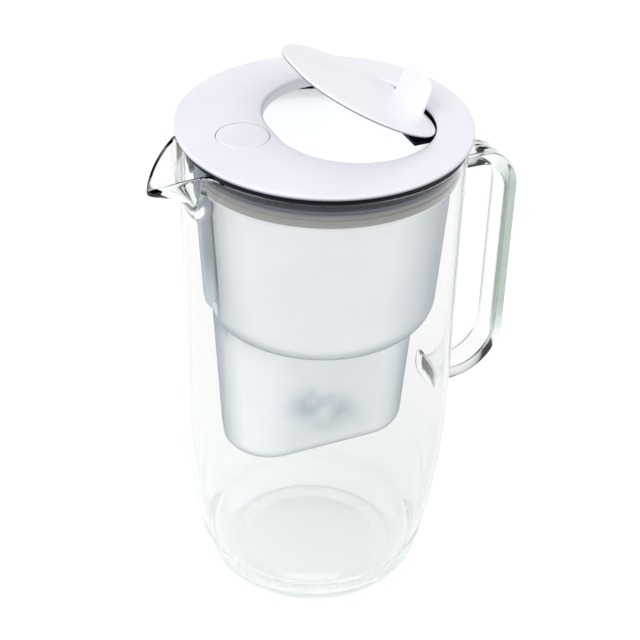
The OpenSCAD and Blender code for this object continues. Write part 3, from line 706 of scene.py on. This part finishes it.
# ---- Flap ----
# An oval white plate that tips up about its two moulded pins when the thumb tab is pressed back.
# Plate, tab, lugs and pins are one moulding with rounded edges and a fillet under the tab.
plate_l = 39.75 * mm
plate_w = 46 * mm
plate_x = 12.55 * mm
plate_z = 273.2 * mm
plate_t = 2.2 * mm
crown = 0.35 * mm  # the closed plate is this much lower at its edge than in its middle
tab_x = plate_x + plate_l - 8.5 * mm
tab_w = 29 * mm
tab_h = 18 * mm
tab_t = 1.9 * mm
tab_lean = radians(7)
tab_corner = 6.5 * mm
tab_fillet = 2.4 * mm
tab_root = 1.5 * mm  # how deep the tab reaches into the plate
tab_edge_r = 0.9 * mm
tab_tip_t = 0.16 * mm
pin_axis = Vector((47.3 * mm, 0, 270.7 * mm))
lug_r = 2.1 * mm
lug_h = 3 * mm  # from the pins' axis up into the plate
lug_inner_y = 9.2 * mm
lug_outer_y = 13.2 * mm
pin_r = 1.2 * mm
pin_inner_y = 9.3 * mm
pin_outer_y = 15.9 * mm
open_angle = radians(27.5)
round_steps = 144


def oval_ring(half_l, half_w, centre_x, z):
    """A level ring of points round an oval that is wider across than along."""
    turn = (np.arange(round_steps) + 0.5) * 2 * pi / round_steps
    side = (half_w - half_l) * np.sign(np.sin(turn))
    return np.c_[centre_x + half_l * np.cos(turn), half_l * np.sin(turn) + side, z + 0 * turn]


def plate_rows():
    """The closed plate from the middle of its underside, round its edge to the middle of its top."""
    under_r, over_r = 0.7 * mm, 1.2 * mm
    middle = plate_l - 0.01 * mm  # as far in as a ring can go
    path = [(inset, plate_z) for inset in (middle, 20 * mm, 6 * mm)]
    path += [(under_r - under_r * sin(a), plate_z + under_r - under_r * cos(a))
             for a in np.linspace(0, pi / 2, 7)]
    edge_z = plate_z + plate_t - crown - over_r
    path += [(over_r - over_r * cos(a), edge_z + over_r * sin(a)) for a in np.linspace(0, pi / 2, 9)]
    for inset in [*np.array((3, 6, 10, 15, 21, 28, 34)) * mm, middle]:
        path.append((inset, plate_z + plate_t - crown * (1 - inset / plate_l) ** 2))
    return [oval_ring(plate_l - inset, plate_w - inset, plate_x, z) for inset, z in path]


def tab_rows():
    """The thumb tab from its root inside the plate to its rounded top edge."""
    corner_z = tab_h - tab_corner
    heights = np.concatenate([[-tab_root, 0], tab_fillet * np.linspace(0, 1, 9)[1:] ** 2,
                              np.linspace(4 * mm, corner_z, 5),
                              corner_z + tab_corner * np.sin(np.linspace(0, pi / 2, 16)[1:])])
    rows = []
    for h in heights:
        near_plate = np.clip(tab_fillet - max(h, 0), 0, tab_fillet)
        flare = tab_fillet - sqrt(tab_fillet**2 - near_plate**2)
        over = max(h - tab_h + tab_corner, 0)
        half_w = tab_w / 2 - tab_corner + sqrt(max(tab_corner**2 - over**2, 0)) + flare
        tip = max(h - tab_h + tab_t / 2, 0)
        half_t = max(sqrt(max((tab_t / 2) ** 2 - tip**2, 0)), tab_tip_t / 2) + flare
        edge_r = min(half_t, tab_edge_r) * 0.98  # a little less, so that two corners never meet
        rows.append([(tab_x - h * sin(tab_lean) + t * cos(tab_lean), w,
                      plate_z + plate_t + h * cos(tab_lean) + t * sin(tab_lean))
                     for t, w in rounded_oblong(half_t, half_w, edge_r)])
    return rows


def cross_bar(name, outline, y0, y1):
    """A bar along the hinge line, from an outline in x and z around the pin's axis."""
    mesh = grid_mesh(name, [[(pin_axis.x + x, y, pin_axis.z + z) for x, z in outline] for y in (y0, y1)])
    closed_ends(mesh)
    return mesh


tab_mesh = grid_mesh("tab", tab_rows())
closed_ends(tab_mesh)
flap_mesh = fused("flap", grid_mesh("plate", plate_rows()), tab_mesh)
lug = [(lug_r * cos(a), lug_r * sin(a)) for a in np.linspace(pi, 2 * pi, 19)]
lug += [(lug_r, lug_h), (-lug_r, lug_h)]
pin = [(pin_r * cos(a), pin_r * sin(a)) for a in np.linspace(0, 2 * pi, 25)[:-1]]
for side in (-1, 1):
    flap_mesh = fused("flap", flap_mesh, cross_bar("lug", lug, side * lug_inner_y, side * lug_outer_y))
    flap_mesh = fused("flap", flap_mesh, cross_bar("pin", pin, side * pin_inner_y, side * pin_outer_y))
smooth_edges(flap_mesh)
tip_open = Matrix.Rotation(open_angle, 4, "Y")
flap_mesh.transform(Matrix.Translation(pin_axis) @ tip_open @ Matrix.Translation(-pin_axis))
flap = add_piece("flap_moulding", flap_mesh, "flip_flap")
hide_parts("flap")
flap.data.materials.clear()
flap_white = polished_white("flap_white", (0.88, 0.88, 0.94), (0.92, 0.92, 0.975), (0.28, 0.38))
plate_up = Vector((sin(open_angle), 0, cos(open_angle)))
shade_h = 0.7 * mm  # the plate's edge is painted darker, as shade, over this height
edge_height = plate_up.dot(pin_axis) + plate_z + plate_t - pin_axis.z - crown - shade_h
flap.data.materials.append(shaded_under(flap_white, plate_up, edge_height, edge_height - shade_h))

# ---- Filter-change indicator ----
# A round button on a small sealed unit under the cover: switch and lamp on a board, held against
# a coin cell by a sprung contact, and closed from below by a slotted door with a rubber ring.
button_low, button_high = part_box("indicator_button")
button_x = (button_low.x + button_high.x) / 2
button_r = button_high.x - button_x
button_top = button_high.z
button_edge = 0.9 * mm
dish = 0.2 * mm
button_base = 274.65 * mm  # stays clear of the housing when pressed
guide_low = button_low.z
guide_inner_r = 11.4 * mm
guide_outer_r = 12.4 * mm
plunger_low = 273.75 * mm
plunger_r = 1.6 * mm


def turned(name, profile):
    """A mesh turned about the button's axis from a profile of radius and height."""
    turn = np.linspace(0, 2 * pi, round_steps, endpoint=False)
    rings = [np.c_[button_x + r * np.cos(turn), r * np.sin(turn), z + 0 * turn] for r, z in profile]
    return grid_mesh(name, rings)


button_profile = [(0, plunger_low), (plunger_r, plunger_low), (plunger_r, button_base),
                  (guide_inner_r, button_base), (guide_inner_r, guide_low), (guide_outer_r, guide_low),
                  (guide_outer_r, button_base), (button_r, button_base)]
for a in np.linspace(0, pi / 2, 9):
    button_profile.append((button_r - button_edge + button_edge * cos(a),
                           button_top - button_edge + button_edge * sin(a)))
for r in np.array((11, 9, 6, 3, 0)) * mm:
    button_profile.append((r, button_top - dish * (1 - (r / button_r) ** 2)))
button_mesh = turned("button", button_profile)
smooth_edges(button_mesh)
button = add_piece("button_cap", button_mesh, "indicator")
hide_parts("indicator_button")
button.data.materials.append(polished_white("lid_white"))
housing_white = moulded_plastic("housing_plastic", (0.6, 0.61, 0.63), (0.68, 0.69, 0.7), (0.4, 0.5))
finish_node("indicator_housing", housing_white)
finish_node("indicator_door", housing_white)
small_plastics = (
    ("indicator_seal", "ring_rubber", (0.02, 0.02, 0.02), (0.04, 0.04, 0.04), (0.6, 0.75), 900),
    ("indicator_board", "board_laminate", (0.01, 0.12, 0.05), (0.02, 0.17, 0.07), (0.3, 0.45), 500),
    ("indicator_switch", "switch_plastic", (0.03, 0.03, 0.03), (0.06, 0.06, 0.06), (0.35, 0.5), 900),
    ("indicator_led", "led_lens", (0.5, 0.75, 0.5), (0.6, 0.85, 0.6), (0.1, 0.2), 300),
)
for node, *finish in small_plastics:
    finish_node(node, moulded_plastic(*finish))


def plated_metal(name, dark, light, rough):
    """Rolled metal with faint rolling lines."""
    material, tree, shader = new_material(name)
    shader.inputs["Metallic"].default_value = 1.0
    lines = add_noise(tree, 400, 3, (0.05, 1, 1))
    tree.links.new(soft_colour(tree, lines, dark, light), shader.inputs["Base Color"])
    vary(tree, shader.inputs["Roughness"], lines, *rough)
    add_bump(tree, shader, lines, 0.005 * mm)
    return material


cell_steel = plated_metal("cell_steel", (0.55, 0.55, 0.54), (0.66, 0.66, 0.64), (0.2, 0.35))
contact_brass = plated_metal("contact_brass", (0.7, 0.5, 0.2), (0.8, 0.6, 0.28), (0.2, 0.35))
finish_node("indicator_battery", cell_steel)
finish_node("indicator_contact", contact_brass)

# ---- Studio ----
# A plain white floor that shows as the backdrop and keeps the jug's soft shadow. One large soft
# lamp hangs overhead, and the dark room behind it draws the edges of the glass.
floor_lift = 0.22  # brings the floor up to the white of the backdrop
room_light = 0.92
lamp_place = Vector((-0.7, -0.25, 1.35))
lamp_aim = Vector((0, 0, 0.2))


def seen_directly(tree):
    """1 for what the camera sees straight on, and 1 for what it sees by reflection or through glass."""
    path = tree.nodes.new("ShaderNodeLightPath").outputs
    mirrored = add_math(tree, "MAXIMUM", path["Is Glossy Ray"], path["Is Transmission Ray"])
    unscattered = add_math(tree, "LESS_THAN", path["Diffuse Depth"], 0.5)
    shallow = add_math(tree, "LESS_THAN", path["Ray Depth"], 6.5)
    return path["Is Camera Ray"], all_of(tree, mirrored, unscattered, shallow)


bpy.ops.mesh.primitive_plane_add(size=8, location=(0, 0, 0))
floor = bpy.context.object
floor.name = "floor"
floor_material, floor_tree, floor_shader = new_material("floor")
floor_shader.inputs["Base Color"].default_value = (0.9, 0.9, 0.9, 1)
floor_shader.inputs["Roughness"].default_value = 0.9
floor_shader.inputs["Specular IOR Level"].default_value = 0.0
floor_shader.inputs["Emission Color"].default_value = (1, 1, 1, 1)
in_view = add_math(floor_tree, "MAXIMUM", *seen_directly(floor_tree))
lift = add_math(floor_tree, "MULTIPLY", in_view, floor_lift)
floor_tree.links.new(lift, floor_shader.inputs["Emission Strength"])
floor.data.materials.append(floor_material)

world = bpy.data.worlds.new("studio")
bpy.context.scene.world = world
world.use_nodes = True
sky = world.node_tree
sky.nodes.clear()


def backdrop(colour, strength):
    """Light from all round, in one colour or in one that changes with direction."""
    glow = sky.nodes.new("ShaderNodeBackground")
    feed(sky, glow.inputs["Color"], colour)
    glow.inputs["Strength"].default_value = strength
    return glow.outputs["Background"]


white = (1, 1, 1, 1)
height = sky.nodes.new("ShaderNodeSeparateXYZ")
sky.links.new(sky.nodes.new("ShaderNodeTexCoord").outputs["Generated"], height.inputs["Vector"])
dark_band = add_ramp(sky, height.outputs["Z"], (
    (0.0, (0.9, 0.9, 0.9)), (0.02, (0.01, 0.01, 0.0105)), (0.38, (0.01, 0.01, 0.0105)),
    (0.5, (0.6, 0.6, 0.63)), (0.7, (0.95, 0.95, 0.95))))
camera_sees, mirror_sees = seen_directly(sky)
room = mix_shaders(sky, mirror_sees, backdrop(white, room_light), backdrop(dark_band, 1.0))
room = mix_shaders(sky, camera_sees, room, backdrop(white, 1.0))
sky.links.new(room, sky.nodes.new("ShaderNodeOutputWorld").inputs["Surface"])

lamp_data = bpy.data.lights.new("soft_lamp", "AREA")
lamp_data.shape = "RECTANGLE"
lamp_data.size = 1.1
lamp_data.size_y = 0.8
lamp_data.energy = 5
lamp = bpy.data.objects.new("soft_lamp", lamp_data)
lamp.location = lamp_place
lamp.rotation_mode = "QUATERNION"
lamp.rotation_quaternion = (lamp_aim - lamp_place).to_track_quat("-Z", "Y")
bpy.context.collection.objects.link(lamp)

bpy.context.scene.view_settings.view_transform = "Standard"
